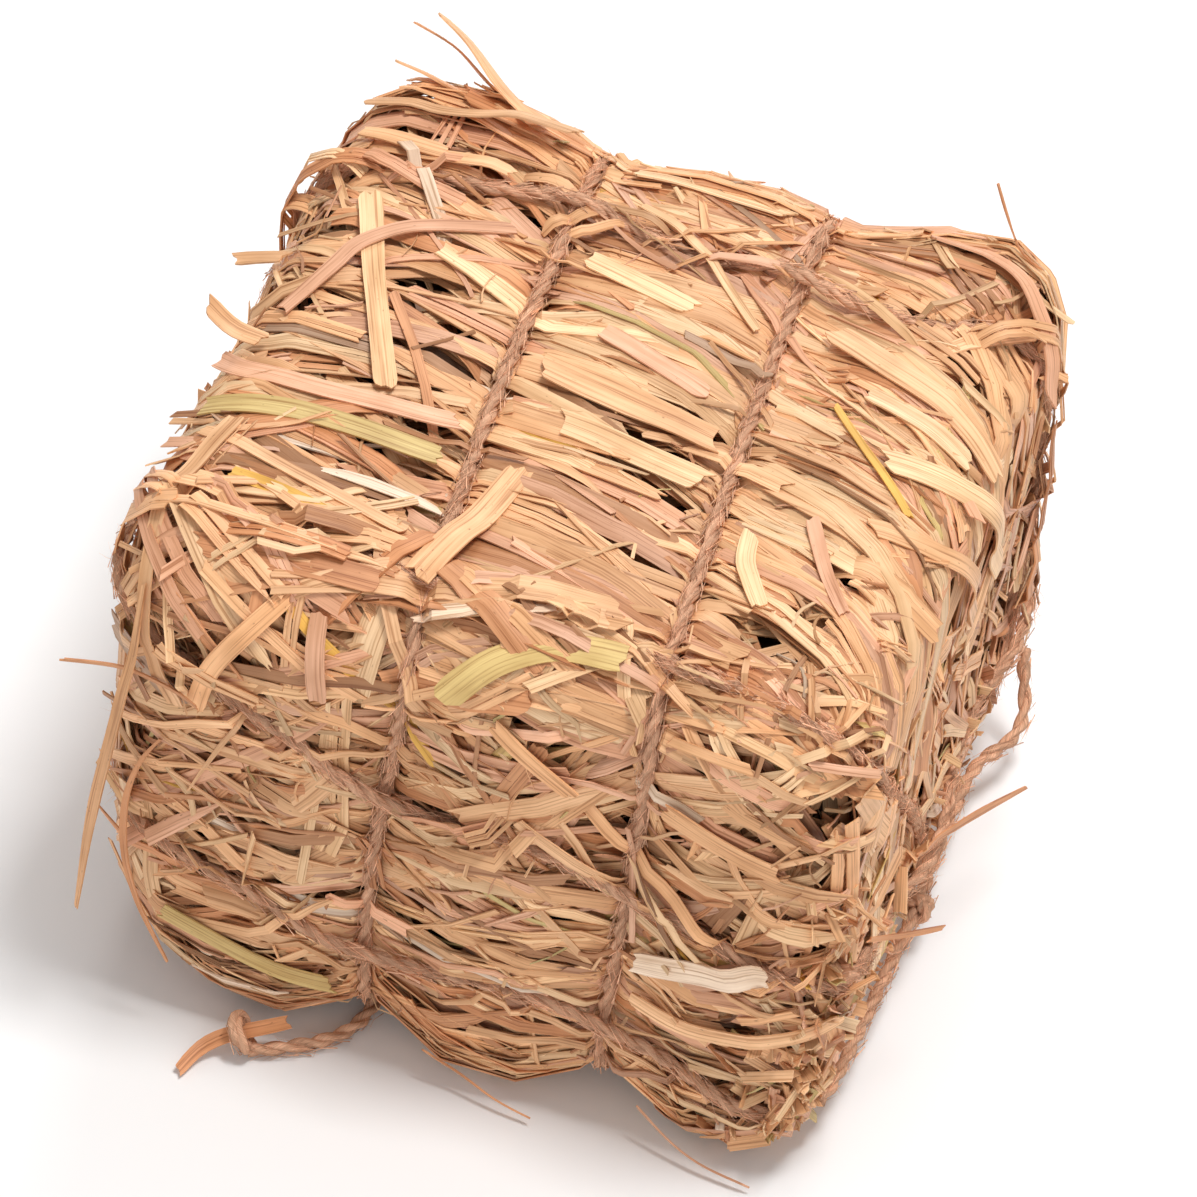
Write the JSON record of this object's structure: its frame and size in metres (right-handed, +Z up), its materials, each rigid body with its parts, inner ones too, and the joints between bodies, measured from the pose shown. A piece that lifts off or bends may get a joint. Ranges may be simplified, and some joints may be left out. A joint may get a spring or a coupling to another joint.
{
  "type": "bundle of straw",
  "caption": "Small rectangular block of flattened dry straw, drawn in and held together by lengths of hairy brown twine tied round it both ways.",
  "frame": {"origin": "centre of the flat underside that the bundle rests on", "axes": "+X to the right along most of the straws, +Y away from the front face, +Z up"},
  "size_m": [0.1344, 0.1359, 0.1064],
  "materials": {
    "straw": "dry packed straw, matt, golden tan with dark gaps",
    "straw_gold": "dry flattened straw, golden, satin, fine long ribs",
    "straw_green": "dry flattened straw, greenish olive, satin",
    "straw_grey": "dry leaf blade, greyish brown, matt",
    "straw_orange": "dry flattened straw, orange brown, matt",
    "straw_pale": "dry flattened straw, pale cream yellow, satin",
    "straw_pink": "dry flattened straw, pinkish tan, satin",
    "straw_white": "dry leaf blade, whitish and papery",
    "straw_yellow": "dry straw, bright yellow, satin",
    "twine": "two-ply jute twine, brown, hairy"
  },
  "bodies": {
    "root": {"arc_front_left": "straw_gold", "arch_front": "straw_green", "back_strip_left": "straw_gold", "back_strip_low": "straw_gold", "back_strip_middle": "straw_pale", "bent_short": "straw_pale", "bridge_left": "straw_gold", "broad_middle": "straw_gold", "broad_pale": "straw_pale", "broad_right_fold": "straw_gold", "broad_top": "straw_pale", "cut_diagonal": "straw_gold", "edge_curve_left": "straw_gold", "end_string": "twine", "fan_spike": "straw_gold", "fan_splinter": "straw_orange", "fan_wide": "straw_gold", "fold_low_left": "straw_gold", "fold_over": "straw_pink", "forked_left": "straw_pink", "girth_twine_left": "twine", "girth_twine_right": "twine", "green_left": "straw_green", "left_long_low": "straw_pink", "long_diagonal_front": "straw_gold", "long_twine_back": "twine", "long_twine_front": "twine", "low_sweep_right": "straw_gold", "lower_twine": "twine", "olive_low_left": "straw_green", "packed_straw": "straw", "slab_front_left": "straw_gold", "slope_right": "straw_gold", "splint_right": "straw_pink", "stray_back_right": "straw_orange", "stray_bottom_left": "straw_orange", "stray_bottom_right": "straw_pink", "stray_corner_low": "straw_orange", "stray_left_curve": "straw_orange", "stray_left_long": "straw_gold", "stray_left_orange": "straw_orange", "stray_right": "straw_orange", "stub_left_high": "straw_gold", "stub_left_middle": "straw_gold", "tail_string": "twine", "thin_over_top": "straw_pale", "tied_strip": "straw_orange", "torn_right": "straw_pale", "upper_twine": "twine", "upright_front_left": "straw_pink", "upright_grey": "straw_grey", "upright_pale": "straw_pale", "white_front": "straw_white", "wide_front_left": "straw_orange", "wrap_back_right": "straw_pink", "wrap_right": "straw_pale", "wrap_right_low": "straw_gold", "yellow_left": "straw_yellow", "yellow_thin": "straw_yellow"}
  },
  "joints": []
}
